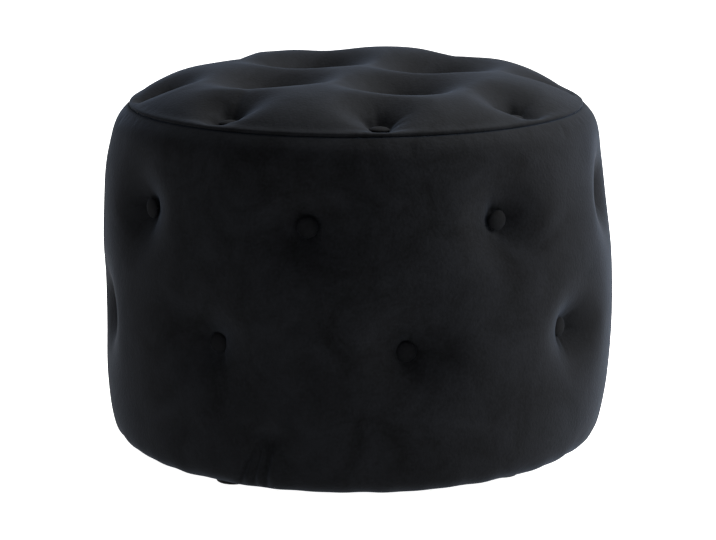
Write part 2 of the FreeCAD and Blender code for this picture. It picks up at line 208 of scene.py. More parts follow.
def smooth_line(points, count, closeness=1.0):
    """A smooth line through the points. Above 1, samples lie closer near its start."""
    knots = np.array(points, float)
    ends = np.vstack([2 * knots[0] - knots[1], knots, 2 * knots[-1] - knots[-2]])
    steps = np.linspace(0, 1, STEPS_BETWEEN, endpoint=False)[:, None]
    dense = []
    for before, start, end, after in zip(ends, ends[1:], ends[2:], ends[3:]):
        slope_in = (end - before) / 2
        slope_out = (after - start) / 2
        dense.append(
            (2 * steps ** 3 - 3 * steps ** 2 + 1) * start
            + (steps ** 3 - 2 * steps ** 2 + steps) * slope_in
            + (-2 * steps ** 3 + 3 * steps ** 2) * end
            + (steps ** 3 - steps ** 2) * slope_out
        )
    dense = np.vstack(dense + [knots[-1:]])
    lengths = np.concatenate([[0], np.cumsum(np.linalg.norm(np.diff(dense, axis=0), axis=1))])
    places = lengths[-1] * np.linspace(0, 1, count) ** closeness
    return np.stack([np.interp(places, lengths, dense[:, axis]) for axis in (0, 1)], axis=1)


# %% [markdown]
# The two panels meet in a seam whose allowance is turned in, so both outlines start inside
# the padding, run up side by side to the thread, and part at the visible edge. The side then
# runs over the shoulder and the belly, and curls under the base.

# %% Outline of the side
SIDE_OUTLINE = [
    (SEAM_RADIUS - 0.0088, SEAM_HEIGHT - 0.0066),
    (SEAM_RADIUS - 0.0036, SEAM_HEIGHT - 0.0016),
    (SEAM_RADIUS - 0.0002, SEAM_HEIGHT - 0.0016),
    (BELLY - 0.0270, SEAM_HEIGHT - 0.007),
    (BELLY - 0.0200, SEAM_HEIGHT - 0.016),
    (BELLY - 0.0140, SEAM_HEIGHT - 0.034),
    (BELLY - 0.0065, SEAM_HEIGHT - 0.080),
    (BELLY - 0.0012, SEAM_HEIGHT - 0.140),
    (BELLY, SEAM_HEIGHT - 0.205),
    (BELLY - 0.0005, SEAM_HEIGHT - 0.265),
    (BELLY - 0.0035, UNDER + 0.060),
    (BELLY - 0.0110, UNDER + 0.020),
    (BELLY - 0.0230, UNDER + 0.0040),
    (BELLY - 0.0400, UNDER - 0.0018),
    (BELLY - 0.0640, UNDER + 0.0002),
]
print("outline rings of the side:", len(SIDE_OUTLINE))

# %% [markdown]
# The top rises quickly at its edge and is nearly flat in the middle, as stretched cloth over
# a thick slab is. One formula gives that crown, because the tufts need its height anywhere.

# %% Outline of the top
TOP_FLATNESS, TOP_SHOULDER = 5.0, 0.83


def crown_height(radius):
    """Height of the top before tufting, at this distance from the middle."""
    out = np.clip(np.asarray(radius) / SEAM_RADIUS, 0, 1)
    return SEAM_HEIGHT + (CROWN - SEAM_HEIGHT) * (1 - out ** TOP_FLATNESS) ** TOP_SHOULDER


TOP_OUTLINE = [
    (SEAM_RADIUS - 0.0088, SEAM_HEIGHT - 0.0056),
    (SEAM_RADIUS - 0.0036, SEAM_HEIGHT - 0.0014),
    (SEAM_RADIUS - 0.0003, SEAM_HEIGHT + 0.0006),
]
for share_out in (0.985, 0.96, 0.92, 0.85, 0.75, 0.60, 0.45, 0.30, 0.15, 0.0):
    out_there = SEAM_RADIUS * share_out
    TOP_OUTLINE.append((out_there, float(crown_height(out_there))))
print("outline rings of the top:", len(TOP_OUTLINE))

# %% [markdown]
# ## Make the two velvet panels as grids
# The side is a band: a grid rolled into a drum. The top is a disc. A disc of rings and
# spokes has a crowded middle where cloth never behaves, so the top is a square grid bent
# into a disc instead: its points stay about as far apart everywhere, and its edge has as
# many points as the band's, so the two meet at the seam.

# %% Grid helpers


def mesh_piece(name, points, faces):
    """A smooth-shaded piece made of these points and faces."""
    mesh = bpy.data.meshes.new(name)
    mesh.from_pydata([tuple(point) for point in points], [], faces)
    mesh.polygons.foreach_set("use_smooth", [True] * len(mesh.polygons))
    return new_object(name, mesh)


def full_turn(count):
    """Evenly spaced angles, once round."""
    return np.arange(count) * 2 * math.pi / count


def ring_squares(upper, lower):
    """Squares between two rings of point numbers. They look outwards."""
    squares = []
    for column in range(len(upper)):
        right = (column + 1) % len(upper)
        square = (upper[column], lower[column], lower[right], upper[right])
        squares.append(tuple(int(index) for index in square))
    return squares


def band_faces(rows, columns):
    """Squares of a grid that closes round its columns, with its rows running down."""
    rings = np.arange(rows * columns).reshape(rows, columns)
    faces = []
    for upper, lower in zip(rings, rings[1:]):
        faces += ring_squares(upper, lower)
    return faces


# %% [markdown]
# The disc's points are a square grid's, with each square ring of the grid bent into a circle.

# %% Two grids
AROUND = 400
SIDE_ROWS, TOP_SAMPLES = 100, 400
CLOSER_AT_SEAM = 1.22


def disc_places(cells):
    """Points of a square grid bent into a disc of radius 1, and the squares between them."""
    line = np.linspace(-1, 1, cells + 1)
    x, y = [grid.ravel() for grid in np.meshgrid(line, line)]
    wide = np.abs(x) >= np.abs(y)
    radius = np.where(wide, x, y)
    safe_x = np.where(x == 0, 1, x)
    safe_y = np.where(y == 0, 1, y)
    quarter = math.pi / 4
    angle = np.where(wide, quarter * y / safe_x, 2 * quarter - quarter * x / safe_y)
    places = np.column_stack([radius * np.cos(angle), radius * np.sin(angle)])
    faces = []
    for row in range(cells):
        for column in range(cells):
            start = row * (cells + 1) + column
            faces.append((start, start + 1, start + cells + 2, start + cells + 1))
    return places, faces


side_line = smooth_line(SIDE_OUTLINE, SIDE_ROWS, CLOSER_AT_SEAM)
side_faces = band_faces(SIDE_ROWS, AROUND)
top_line = smooth_line(TOP_OUTLINE, TOP_SAMPLES, CLOSER_AT_SEAM)
disc, top_faces = disc_places(AROUND // 4)
print("side points:", SIDE_ROWS * AROUND, "top points:", len(disc))

# %% [markdown]
# ## Pull the tufts in
# Each button draws the cloth to its seat. Close to the button the cloth rises steeply, and
# then it flattens into the next hill, like the mouth of a trumpet. Points are first drawn
# towards the button so that the steep part has enough of them, and then sunk by a curve of
# their distance. Where two tufts are near, the deeper pull wins with a soft change-over,
# which leaves the ridges between buttons that the photograph shows.

# %% Tuft shape
SEAT = BUTTON_RADIUS * 0.80
# A shape is the reach of its steep part, the reach of its wide part, and the steep share.
OUTER_TUFT = (0.0068, 0.0310, 0.46)
INNER_TUFT = (0.0155, 0.0490, 0.42)
SIDE_TUFT = (0.0105, 0.0340, 0.36)
STEEP_CURVE, WIDE_CURVE = 1.15, 2
GATHER_REACH, GATHER_SHARE = 0.07, 0.45
CHANGE_OVER = 7


def tuft_pull(distance, steep, wide, steep_share):
    """How far down a point is drawn, as a share of the tuft's depth, by its distance."""
    past_seat = np.maximum(distance - SEAT, 0)
    near = np.exp(-(past_seat / steep) ** STEEP_CURVE)
    far = np.exp(-(past_seat / wide) ** WIDE_CURVE)
    return steep_share * near + (1 - steep_share) * far


def gather(flat, places, room):
    """Draw flat points towards the tufts' middles, as far as each point's room allows."""
    moved = flat.copy()
    for place in places:
        offset = flat - place
        distance = np.linalg.norm(offset, axis=1)
        nearness = 1 - np.clip(distance / GATHER_REACH, 0, 1)
        moved -= offset * (GATHER_SHARE * nearness ** 2 * room)[:, None]
    return moved


print("a button's seat is %.1f mm in radius" % (1000 * SEAT))

# %% [markdown]
# ## The top panel
# Eight tufts lie in a ring near the seam and four deeper ones halfway in. A ring tuft also
# draws the strip between itself and the seam down, in a notch about twice as wide as the
# button. So straight out towards the near seam its distances count less.

# %% Reach of a top tuft
INNER_LIMIT = 0.16
TOWARDS_SEAM, NOTCH_WIDTH = 0.4, 0.026


def reach_from(across, place):
    """Distances from a top tuft, counted as less in its notch."""
    out = place / np.linalg.norm(place)
    offset = across - place
    outward = offset @ out
    sideways = offset[:, 1] * out[0] - offset[:, 0] * out[1]
    near_edge = (outward > 0) & (np.linalg.norm(place) > INNER_LIMIT)
    counted = 1 - (1 - TOWARDS_SEAM) * np.exp(-(sideways / NOTCH_WIDTH) ** 2) * near_edge
    return np.hypot(outward * counted, sideways)


# %% [markdown]
# The height of a point is the crown's, less what the buttons pull away. At the seam the
# cloth is held down, so the pull fades out there. The plan starts a little low, because the
# cloth swells later. The photograph also shows the padding a few millimetres fuller at the
# back than in front.

# %% Top surface
SWELL = 0.0015
SEWN_STRIP, ROOM_FADE = 0.0018, 0.0065
BACK_STARTS, BACK_SPREAD = 0.05, 0.10
FRONT_FULLNESS, BACK_FULLNESS = -0.0025, 0.0038
LOWEST_SEAT = min(TUFTS[name][0].z for name in TOP_BUTTONS)
LEAST_DEPTH = 0.01
NEVER_ZERO = 1e-9


def top_points():
    out = np.linalg.norm(disc, axis=1)
    along = (1 - out) * (len(top_line) - 1)
    radius = np.interp(along, np.arange(len(top_line)), top_line[:, 0])
    height = np.interp(along, np.arange(len(top_line)), top_line[:, 1])
    flat = disc * (radius / np.maximum(out, NEVER_ZERO))[:, None]
    room = np.clip((SEAM_RADIUS - radius - SEWN_STRIP) / ROOM_FADE, 0, 1)
    room[along < np.argmax(top_line[:, 0])] = 0
    seats = [np.array(TUFTS[name][0][:2]) for name in TOP_BUTTONS]
    across = gather(flat, seats, room)
    drift = crown_height(np.linalg.norm(across, axis=1)) - crown_height(radius)
    height += np.where(room > 0, drift, 0)
    pull = np.zeros(len(across))
    for name, place in zip(TOP_BUTTONS, seats):
        shape = INNER_TUFT if np.linalg.norm(place) < INNER_LIMIT else OUTER_TUFT
        depth = np.maximum(height - TUFTS[name][0].z, 0)
        pull += (depth * tuft_pull(reach_from(across, place), *shape)) ** CHANGE_OVER
    pull = pull ** (1 / CHANGE_OVER)
    free = 1 - np.clip(pull / np.maximum(height - LOWEST_SEAT, LEAST_DEPTH), 0, 1)
    backwards = np.clip((across[:, 1] - BACK_STARTS) / BACK_SPREAD, 0, 1)
    backwards = backwards ** 2 * (3 - 2 * backwards)
    fuller = FRONT_FULLNESS + (BACK_FULLNESS - FRONT_FULLNESS) * backwards
    height -= (pull + (SWELL - fuller) * free) * room
    return np.column_stack([across, height]), room


top_start, top_room = top_points()
print("top from %.3f to %.3f" % (top_start[:, 2].min(), top_start[:, 2].max()))

# %% [markdown]
# ## The side band
# A drum stuffed by hand is never quite round: the photograph shows it a few millimetres
# fuller at the right waist and the left shoulder, and a little hollow above the folds at
# the front left of the lower edge. Each of these is a soft lobe on the band.

# %% Fullness of the side
# A lobe is its turn and spread in degrees, its height and spread, and how far it stands out.
FULLER = [(80, 45, 0.165, 0.110, 0.0045), (-80, 40, 0.335, 0.045, 0.0030)]
FULLER += [(-18.3, 3.6, UNDER + 0.061, 0.021, -0.0075)]


def fullness(turn, height):
    """How far the stuffing stands out at this turn and height."""
    total = np.zeros(len(turn))
    for middle, spread, level, tall, size in FULLER:
        away = (turn - math.radians(middle) + math.pi) % (2 * math.pi) - math.pi
        across = np.exp(-(away / math.radians(spread)) ** 2)
        total += size * across * np.exp(-((height - level) / tall) ** 2)
    return total


print("lobes in the side:", len(FULLER))

# %% [markdown]
# The side is worked out flat, as the band lay before it was sewn: how far round and how
# high. A tuft's distance is then a plain distance on the band, and each point sinks
# towards the drum's middle line. Near the seam and near the hem the cloth can't move.

# %% Side surface
CURL_HEIGHT = 0.008
SEAM_STRIP, HEM_STRIP, STRIP_FADE = 0.008, 0.012, 0.05
first_upright = int(np.argmax(side_line[:, 0] > SEAM_RADIUS))
upright = slice(first_upright, int(np.argmax(side_line[:, 1] < UNDER + CURL_HEIGHT)))


def outline_radius(height):
    """The plain side's radius at this height, for the part above the curl."""
    return np.interp(-height, -side_line[upright, 1], side_line[upright, 0])


def side_points():
    angles = np.tile(full_turn(AROUND), SIDE_ROWS)
    radius = np.repeat(side_line[:, 0], AROUND)
    height = np.repeat(side_line[:, 1], AROUND)
    whole_turn = 2 * math.pi * BELLY
    above = np.clip((SEAM_HEIGHT - SEAM_STRIP - height) / STRIP_FADE, 0, 1)
    below = np.clip((height - UNDER - HEM_STRIP) / STRIP_FADE, 0, 1)
    seats = []
    for name in SIDE_BUTTONS:
        seat, facing = TUFTS[name]
        around = math.atan2(facing.x, -facing.y) % (2 * math.pi) * BELLY
        seats += [np.array([around + turn, seat.z]) for turn in (-whole_turn, 0, whole_turn)]
    moved = gather(np.column_stack([angles * BELLY, height]), seats, above * below)
    pull = np.zeros(len(moved))
    for place in seats:
        distance = np.linalg.norm(moved - place, axis=1)
        pull += ((BELLY - SIDE_SEAT) * tuft_pull(distance, *SIDE_TUFT)) ** CHANGE_OVER
    pull = pull ** (1 / CHANGE_OVER)
    free = (1 - pull / (BELLY - SIDE_SEAT)) * above * below
    turn = moved[:, 0] / BELLY
    drift = outline_radius(moved[:, 1]) - outline_radius(height)
    radius += drift - pull + (fullness(turn, moved[:, 1]) - SWELL) * free
    return np.column_stack([np.sin(turn) * radius, -np.cos(turn) * radius, moved[:, 1]])


side_start = side_points()
print("side from %.3f to %.3f" % (side_start[:, 2].min(), side_start[:, 2].max()))

# %% [markdown]
# From here on each step reads a piece's points and moves them. Two helpers do that for all
# points in one go, which is far quicker than point by point.

# %% Read and move points


def points_of(piece, what="co"):
    """The piece's points, or their normals, as rows of numbers."""
    values = np.empty(len(piece.data.vertices) * 3)
    source = piece.data.vertices if what == "co" else piece.data.vertex_normals
    source.foreach_get("co" if what == "co" else "vector", values)
    return values.reshape(-1, 3)


def move_points(piece, points):
    piece.data.vertices.foreach_set("co", points.ravel())
    piece.data.update()


# %% [markdown]
# ## Let the cloth settle
# Real covers are pulled tight by their buttons and pushed out by the foam between them.
# Drawing that by hand looks drawn. Instead the cloth solver is run for twenty frames, and
# the foam pushes from inside. How far a point may leave the planned shape is capped, so the
# drum keeps its form.

# %% Cloth settling
SETTLE_FRAMES = 20
SETTLE_CAP = 0.0035
STRETCHED_CLOTH = {
    "quality": 5,
    "mass": 0.3,
    "tension_stiffness": 15,
    "compression_stiffness": 15,
    "shear_stiffness": 5,
    "bending_stiffness": 1.5,
    "use_pressure": True,
    "uniform_pressure_force": 4.0,
}


def settle(piece, pinned):
    """Runs the cloth on the piece, then holds every point within the cap of its plan."""
    planned = points_of(piece)
    group = piece.vertex_groups.new(name="pinned")
    group.add([int(index) for index in np.flatnonzero(pinned)], 1.0, "REPLACE")
    cloth = piece.modifiers.new("settling", "CLOTH")
    for label, value in STRETCHED_CLOTH.items():
        setattr(cloth.settings, label, value)
    cloth.settings.vertex_group_mass = "pinned"
    cloth.settings.effector_weights.gravity = 0
    cloth.collision_settings.use_collision = False
    for number in range(1, SETTLE_FRAMES + 1):
        bpy.context.scene.frame_set(number)
    shaped = piece.evaluated_get(bpy.context.evaluated_depsgraph_get())
    move = points_of(shaped) - planned
    length = np.linalg.norm(move, axis=1)
    capped = SETTLE_CAP * np.tanh(length / SETTLE_CAP)
    move *= (capped / np.maximum(length, NEVER_ZERO))[:, None]
    piece.modifiers.remove(cloth)
    piece.vertex_groups.remove(group)
    move_points(piece, planned + move)
    bpy.context.scene.frame_set(1)
    print(piece.name, "moved by %.1f mm at most" % (1000 * capped.max()))


# %% [markdown]
# The seam, the hem and the buttons' seats are pinned, because thread, staples and twine hold
# them on the real cover.

# %% Settle the two panels
HEM_ROWS = 14
HELD_ROOM = 0.02


def near_seats(points, names, reach):
    """Which of the points lie within reach of one of these buttons' seats."""
    close = np.zeros(len(points), bool)
    for name in names:
        close |= np.linalg.norm(points - np.array(TUFTS[name][0]), axis=1) < reach
    return close


side_piece = mesh_piece("side_cover_velvet", side_start, side_faces)
top_piece = mesh_piece("top_cover_velvet", top_start, top_faces)
row = np.repeat(np.arange(SIDE_ROWS), AROUND)
held = (row <= first_upright) | (row > SIDE_ROWS - HEM_ROWS)
settle(side_piece, held | near_seats(side_start, SIDE_BUTTONS, SEAT))
held = top_room < HELD_ROOM
settle(top_piece, held | near_seats(top_start, TOP_BUTTONS, SEAT))

# %% [markdown]
# ## Foam inside
# The foam never shows, but it is the reason for the shape, so it is made as two closed
# forms just under the settled velvet: a ring round the wall, and a cap on the seat board.
# Near the hem the gap is wider, because the folds pressed in there later need the room.

# %% Foam round the wall
FOAM_GAP = 0.0030
HEM_SLACK, SLACK_HEIGHT = 0.0065, 0.07
BOARD_MARGIN, WALL_MARGIN = 0.003, 0.002
SEAT_BOARD_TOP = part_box("seat_board")[1][2]
WALL_RADIUS = extent_of("side_wall").x / 2


def radius_of(points):
    """Distances from the pouf's upright middle line."""
    return np.hypot(points[..., 0], points[..., 1])


def ring_at(radius, height):
    angles = full_turn(AROUND)
    flat = np.stack([np.sin(angles), -np.cos(angles)], axis=1) * radius
    return np.column_stack([flat, np.full(AROUND, height)])


def closed_loops(loops):
    """Points and faces of a tube through these loops that meets its first loop again."""
    first = np.arange(AROUND)
    last = first + (len(loops) - 1) * AROUND
    return np.vstack(loops), band_faces(len(loops), AROUND) + ring_squares(last, first)


side_now = points_of(side_piece)
gap = FOAM_GAP + HEM_SLACK * np.exp(-((side_now[:, 2] - UNDER) / SLACK_HEIGHT) ** 2)
side_under = side_now - gap[:, None] * points_of(side_piece, "normal")
side_under = side_under.reshape(SIDE_ROWS, AROUND, 3)
ring_height = side_under[:, :, 2].mean(axis=1)
beside_wall = ring_height < SEAT_BOARD_TOP - BOARD_MARGIN
beside_wall &= radius_of(side_under).mean(axis=1) > WALL_RADIUS + WALL_MARGIN
beside_wall[:first_upright] = False
outer = list(side_under[beside_wall])
lid = outer[0].copy()
lid[:, 2] = SEAT_BOARD_TOP
loops = [ring_at(WALL_RADIUS, SEAT_BOARD_TOP), lid] + outer
loops.append(ring_at(WALL_RADIUS, outer[-1][:, 2].mean()))
side_foam = mesh_piece("side_foam_ring", *closed_loops(loops))
print("side foam faces:", len(side_foam.data.polygons))

# %% [markdown]
# The cap starts from the top panel's grid. At the edge the velvet turns in and would cut into
# the foam, so there the foam is held back to a rim inside the seam and a little below it.
# The grid's own edge then has to be put in order round the middle, to carry the skirt.

# %% Upper side of the seat foam
FOAM_EDGE = SEAM_RADIUS - 0.0125
RIM_STEP, RIM_DROP = 0.0004, 0.0035


def turn_of(points):
    """How far round the points lie, from the front towards the viewer's right."""
    return np.arctan2(points[..., 0], -points[..., 1])


top_under = points_of(top_piece) - FOAM_GAP * points_of(top_piece, "normal")
on_rim = np.linalg.norm(disc, axis=1) > 1 - 1e-6
rim = np.flatnonzero(on_rim)
rim = rim[np.argsort(np.round(turn_of(disc[rim]) % (2 * math.pi), 6))]
too_near = (radius_of(top_under) > FOAM_EDGE) | (top_room == 0)
turn = turn_of(disc)
held_back = FOAM_EDGE - RIM_STEP * ~on_rim
top_under[too_near, 0] = (held_back * np.sin(turn))[too_near]
top_under[too_near, 1] = -(held_back * np.cos(turn))[too_near]
top_under[too_near, 2] = SEAM_HEIGHT - RIM_DROP
print("foam points held back at the seam:", int(too_near.sum()))

# %% [markdown]
# Below the rim a short skirt follows the side, and a flat underside lies on the board.

# %% Seat foam
SKIRT_DROP = 0.014
BOARD_CLEARANCE = 0.0004
over_board = ring_height > SEAT_BOARD_TOP + BOARD_MARGIN
over_board &= ring_height < SEAM_HEIGHT - SKIRT_DROP
over_board[:first_upright] = False
skirt = list(side_under[over_board])
base = skirt[-1].copy()
base[:, 2] = SEAT_BOARD_TOP + BOARD_CLEARANCE
levels = [rim]
for step in range(len(skirt) + 1):
    levels.append(len(top_under) + step * AROUND + np.arange(AROUND))
seat_faces = list(top_faces)
for upper, lower in zip(levels, levels[1:]):
    seat_faces += ring_squares(upper, lower)
seat_faces.append(tuple(int(index) for index in levels[-1][::-1]))
seat_foam = mesh_piece("seat_foam_cap", np.vstack([top_under] + skirt + [base]), seat_faces)
print("seat foam faces:", len(seat_foam.data.polygons))

# %% [markdown]
# ## Press in the small folds
# Small folds of three kinds show on the real cover. Short creases run into each button. The
# seam is puckered by its thread. At the lower edge the band has more cloth than the base
# needs, so it is gathered, and at the front left it lies in three deeper folds. Each is
# pressed in along the cloth's own facing, after a round of subdivision has given it enough
# points.

# %% Round the grids


def apply_modifiers(piece):
    """Keep the shape that the modifiers make, and drop the modifiers."""
    shaped = piece.evaluated_get(bpy.context.evaluated_depsgraph_get())
    mesh = bpy.data.meshes.new_from_object(shaped)
    old = piece.data
    piece.modifiers.clear()
    piece.data = mesh
    bpy.data.meshes.remove(old)
    mesh.name = piece.name


for piece in (side_piece, top_piece):
    piece.modifiers.new("rounder", "SUBSURF").levels = 1
    apply_modifiers(piece)
print("points after rounding:", len(side_piece.data.vertices), len(top_piece.data.vertices))

# %% [markdown]
# A crease is a narrow valley that starts at the button's edge, widens and fades outwards. Its
# direction, length and depth are drawn from a seeded random source, so the same cloth comes
# out each time. One longer crease runs back from the front left button of the top.

# %% One crease
chance = np.random.default_rng(26)
CREASES_PER_BUTTON = 7
CREASE_LENGTHS = (0.008, 0.020)
CREASE_DEPTH, CREASE_LIMIT = 0.0016, 0.0019
CREASE_WIDTH, LEAST_WIDTH, WIDENING = 0.0022, 1e-4, 0.02
CREASE_START, START_FADE = SEAT * 0.8, 0.004
LONG_CREASE = ("button_top_1", math.radians(72), 0.050)


def crease_at(along, aside, length):
    """The depth of one crease at points this far along it and aside from it."""
    width = CREASE_WIDTH * chance.uniform(0.7, 1.3) * (1 + along / WIDENING)
    start = np.clip((along - CREASE_START) / START_FADE, 0, 1)
    fade = np.exp(-(np.maximum(along - SEAT, 0) / length) ** 2) * start
    depth = CREASE_DEPTH * chance.uniform(0.5, 1.2)
    return depth * fade * np.exp(-(aside / np.maximum(width, LEAST_WIDTH)) ** 2)


# %% [markdown]
# The creases of a button are laid out on the plane that it lies in, and added up there. The
# sum is limited softly, so that creases that cross don't make a pit.

# %% Creases beside the buttons
CREASED_RADIUS, CREASED_DEPTH = 0.07, 0.05


def press_creases(piece, names):
    points, normals = points_of(piece), points_of(piece, "normal")
    pressed = np.zeros(len(points))
    for name in names:
        seat, facing = TUFTS[name]
        across = facing.orthogonal().normalized()
        if name in TOP_BUTTONS:
            across = Vector((1, 0, 0))
        offset = points - np.array(seat)
        right, up = offset @ np.array(across), offset @ np.array(facing.cross(across))
        level = np.abs(offset @ np.array(facing)) < CREASED_DEPTH
        near = np.flatnonzero(level & (np.hypot(right, up) < CREASED_RADIUS))
        directions = chance.uniform(0, 2 * math.pi, CREASES_PER_BUTTON)
        lines = list(zip(directions, chance.uniform(*CREASE_LENGTHS, CREASES_PER_BUTTON)))
        if name == LONG_CREASE[0]:
            lines.append(LONG_CREASE[1:])
        for direction, length in lines:
            along = right[near] * math.cos(direction) + up[near] * math.sin(direction)
            aside = right[near] * math.sin(direction) - up[near] * math.cos(direction)
            pressed[near] += crease_at(along, aside, length)
    pressed = CREASE_LIMIT * np.tanh(pressed / CREASE_LIMIT)
    move_points(piece, points - normals * pressed[:, None])
    print(piece.name, "deepest crease: %.1f mm" % (1000 * pressed.max()))


press_creases(side_piece, SIDE_BUTTONS)
press_creases(top_piece, TOP_BUTTONS)

# %% [markdown]
# The puckers of the seam and the gathers of the hem both repeat round the drum without ever
# being even. Adding a few waves of different counts and phases gives such a line. The strip
# that the thread holds stays smooth.

# %% Seam puckers
ANY_PHASE = (0, 6.28)
PUCKER_SIZE, PUCKER_REACH = 0.00028, 0.011
THREAD_STRIP, THREAD_FADE = 0.0046, 0.003
STRENGTH_WAVES, PUCKER_WAVES = (3, 5, 8), (61, 83, 104, 131)


def uneven_line(turn, counts):
    """A wavering line round the drum, about 1 high."""
    waves = [np.cos(count * turn + chance.uniform(*ANY_PHASE)) for count in counts]
    return sum(waves) / math.sqrt(len(counts))


def pucker(piece):
    points, normals = points_of(piece), points_of(piece, "normal")
    turn = turn_of(points)
    from_seam = np.hypot(radius_of(points) - SEAM_RADIUS, points[:, 2] - SEAM_HEIGHT)
    beyond_thread = np.clip((from_seam - THREAD_STRIP) / THREAD_FADE, 0, 1)
    near = np.exp(-(from_seam / PUCKER_REACH) ** 2) * beyond_thread
    strength = 0.6 + 0.4 * uneven_line(turn, STRENGTH_WAVES)
    push = PUCKER_SIZE * near * strength * uneven_line(turn, PUCKER_WAVES)
    move_points(piece, points + normals * push[:, None])
    print(piece.name, "puckers up to %.2f mm" % (1000 * np.abs(push).max()))


pucker(side_piece)
pucker(top_piece)

# %% [markdown]
# The gathers run all round the hem, outside the part that is stapled flat under the base.
# The three folds at the front left each run along a slanting line, from a turn high on the
# side to a turn at the hem, and where they meet the deeper one counts.

# %% Hem gathers and front folds
GATHER_DEPTH, GATHER_HEIGHT = 0.0006, 0.020
GATHER_WAVES = (11, 19, 29, 43)
FLAT_RADIUS, FLAT_FADE = 0.245, 0.02
FRONT_FOLDS = [(-20.0, -28.0), (-19.3, -24.6), (-17.6, -21.4)]
FOLD_DEPTH, FOLD_WIDTH, FOLD_HEIGHT = 0.0056, 0.0042, 0.070
FOLD_TOP, TOP_FADE, FOOT_FADE = 0.036, 0.024, 0.010
points, normals = points_of(side_piece), points_of(side_piece, "normal")
turn = turn_of(points)
rise = points[:, 2] - UNDER
outside = np.clip((radius_of(points) - FLAT_RADIUS) / FLAT_FADE, 0, 1)
low = np.exp(-(rise / GATHER_HEIGHT) ** 2) * outside
push = GATHER_DEPTH * low * uneven_line(turn, GATHER_WAVES)
share = np.clip(rise / FOLD_HEIGHT, 0, 1)
reach = np.exp(-(np.maximum(rise - FOLD_TOP, 0) / TOP_FADE) ** 2)
reach *= np.clip(rise / FOOT_FADE, 0, 1)
folds = np.zeros(len(points))
for high_turn, low_turn in FRONT_FOLDS:
    line = np.radians(low_turn + (high_turn - low_turn) * share)
    aside = (turn - line) * BELLY
    folds = np.maximum(folds, reach * np.exp(-(aside / FOLD_WIDTH) ** 2))
push -= FOLD_DEPTH * folds
move_points(side_piece, points + normals * push[:, None])
print("gathers and folds up to %.1f mm" % (1000 * np.abs(push).max()))

# %% [markdown]
# ## Give the cloth its thickness
# A thin shell turned inwards gives the panels real edges, so that the exported shape is
# closed and the seam has two thicknesses of cloth, as a sewn one has.

# %% Thicken
VELVET_THICKNESS = 0.0012


def thicken(piece, thickness, offset=-1):
    """Give a sheet its thickness: inwards, or with offset 0 half to each side."""
    shell = piece.modifiers.new("shell", "SOLIDIFY")
    shell.thickness = thickness
    shell.offset = offset
    apply_modifiers(piece)
    print(piece.name, "faces:", len(piece.data.polygons))


thicken(side_piece, VELVET_THICKNESS)
thicken(top_piece, VELVET_THICKNESS)

# %% [markdown]
# ## Covered buttons
# Each button is a metal cap wrapped in the same velvet, gathered behind it. The wrapping
# leaves faint pinches round the rim. One outline is turned into a dome, and the rim is
# then waved a little, differently on each button.

# %% Buttons
BUTTON_OUTLINE = [
    (0.0, BUTTON_HEIGHT),
    (BUTTON_RADIUS * 0.35, BUTTON_HEIGHT * 0.955),
    (BUTTON_RADIUS * 0.67, BUTTON_HEIGHT * 0.80),
    (BUTTON_RADIUS * 0.90, BUTTON_HEIGHT * 0.55),
    (BUTTON_RADIUS * 0.995, BUTTON_HEIGHT * 0.30),
    (BUTTON_RADIUS * 0.97, BUTTON_HEIGHT * 0.10),
    (BUTTON_RADIUS * 0.85, 0.0),
]
SPOKES, BUTTON_RINGS = 64, 18
PINCH_SIZE, PINCH_WAVES, PINCH_TO_RIM = 0.012, (9, 13, 17), 4
button_line = smooth_line(BUTTON_OUTLINE, BUTTON_RINGS)


def button_piece(name, seat, facing):
    angles = full_turn(SPOKES)
    pinch = np.zeros(SPOKES)
    for count in PINCH_WAVES:
        size = PINCH_SIZE * chance.uniform(0.4, 1)
        pinch += size * np.cos(count * angles + chance.uniform(*ANY_PHASE))
    loops = []
    for radius, height in button_line[1:]:
        reach = radius * (1 + pinch * (radius / BUTTON_RADIUS) ** PINCH_TO_RIM)
        ring = [reach * np.cos(angles), reach * np.sin(angles), np.full(SPOKES, height)]
        loops.append(np.column_stack(ring))
    points = np.vstack(loops + [[[0, 0, button_line[0, 1]], [0, 0, 0]]])
    faces = band_faces(len(loops), SPOKES)
    crown, foot = len(points) - 2, len(points) - 1
    last = (len(loops) - 1) * SPOKES
    for column in range(SPOKES):
        right = (column + 1) % SPOKES
        faces.append((crown, column, right))
        faces.append((foot, last + right, last + column))
    turning = np.array(facing.to_track_quat("Z", "Y").to_matrix())
    return mesh_piece(name, points @ turning.T + np.array(seat), faces)


buttons = {name: button_piece(name + "_velvet", *TUFTS[name]) for name in TUFTS}
print("buttons made:", len(buttons))

# %% [markdown]
# ## Dust cover
# A thin black cloth closes the base. It is stapled round its edge over the velvet's hem and
# held again by the four feet. Between these it sags by a millimetre or two, and it puckers
# where the staples pull.

# %% Dust cover sheet
DUST_RADIUS = extent_of("dust_cover").x / 2
DUST_LOW, DUST_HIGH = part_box("dust_cover")[0][2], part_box("dust_cover")[1][2]
DUST_THICKNESS, DUST_CELLS = 0.0004, 72
STAPLES, STAPLED_STRIP, STAPLE_FADE = 24, 0.012, 0.05
HELD_BY_FOOT, HELD_FADE = 0.024, 0.03
SAG, STAPLE_PUCKER, PUCKER_TO_EDGE = 0.0016, 0.00035, 6
sheet_places, sheet_faces = disc_places(DUST_CELLS)
flat = sheet_places * DUST_RADIUS
out = np.linalg.norm(flat, axis=1)
slack = np.clip((DUST_RADIUS - STAPLED_STRIP - out) / STAPLE_FADE, 0, 1)
for number in range(1, 5):
    from_foot = radius_of(flat - np.array(middle_of("foot_%d" % number)[:2]))
    slack *= np.clip((from_foot - HELD_BY_FOOT) / HELD_FADE, 0, 1)
near_edge = np.clip(out / DUST_RADIUS, 0, 1) ** PUCKER_TO_EDGE
